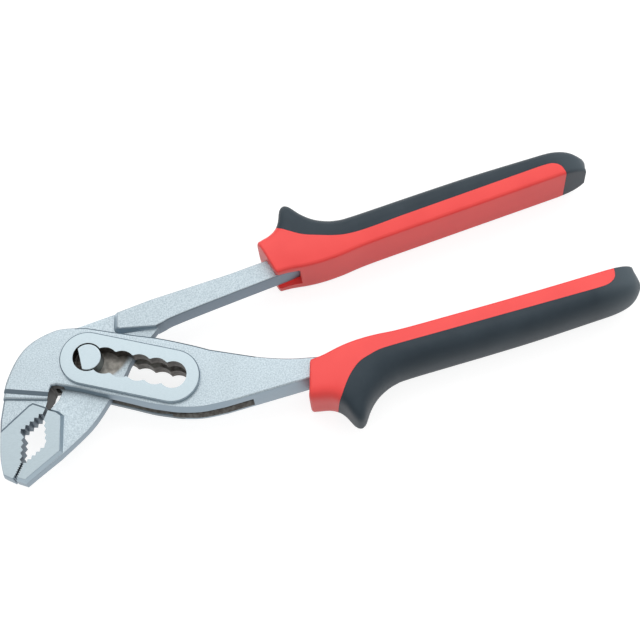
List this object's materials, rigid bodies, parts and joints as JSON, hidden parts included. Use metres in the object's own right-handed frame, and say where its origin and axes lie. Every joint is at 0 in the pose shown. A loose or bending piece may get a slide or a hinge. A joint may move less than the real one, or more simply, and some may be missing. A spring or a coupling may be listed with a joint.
{
  "type": "water pump pliers",
  "caption": "Adjustable water pump pliers: a slotted arm with a hooked jaw, a second arm that passes through its box joint on a pin, toothed pipe jaws and two-material grips.",
  "frame": {"origin": "on the pivot axis, at the rear end face of the pivot pin", "axes": "+X from the pivot towards the handles' ends, +Y towards the through arm's handle, +Z along the pivot axis towards the front face"},
  "size_m": [0.2438, 0.0923, 0.023],
  "materials": {
    "forged_steel": "satin chrome over a blasted forging",
    "ground_steel": "fine ground",
    "red_plastic": "satin moulded",
    "black_rubber": "matt soft moulded"
  },
  "bodies": {
    "slotted_arm": {"slotted_arm": "forged_steel", "slotted_grip_core": "red_plastic", "slotted_grip_cover": "black_rubber"},
    "through_arm": {"through_arm": "forged_steel", "pivot_pin": "ground_steel", "through_grip_core": "red_plastic", "through_grip_cover": "black_rubber"}
  },
  "joints": [
    {"name": "handle_pivot", "type": "hinge", "parent": "slotted_arm", "child": "through_arm", "pos_m": [0, 0, 0.008], "axis": [0, 0, 1], "range_deg": [0, 65]}
  ]
}
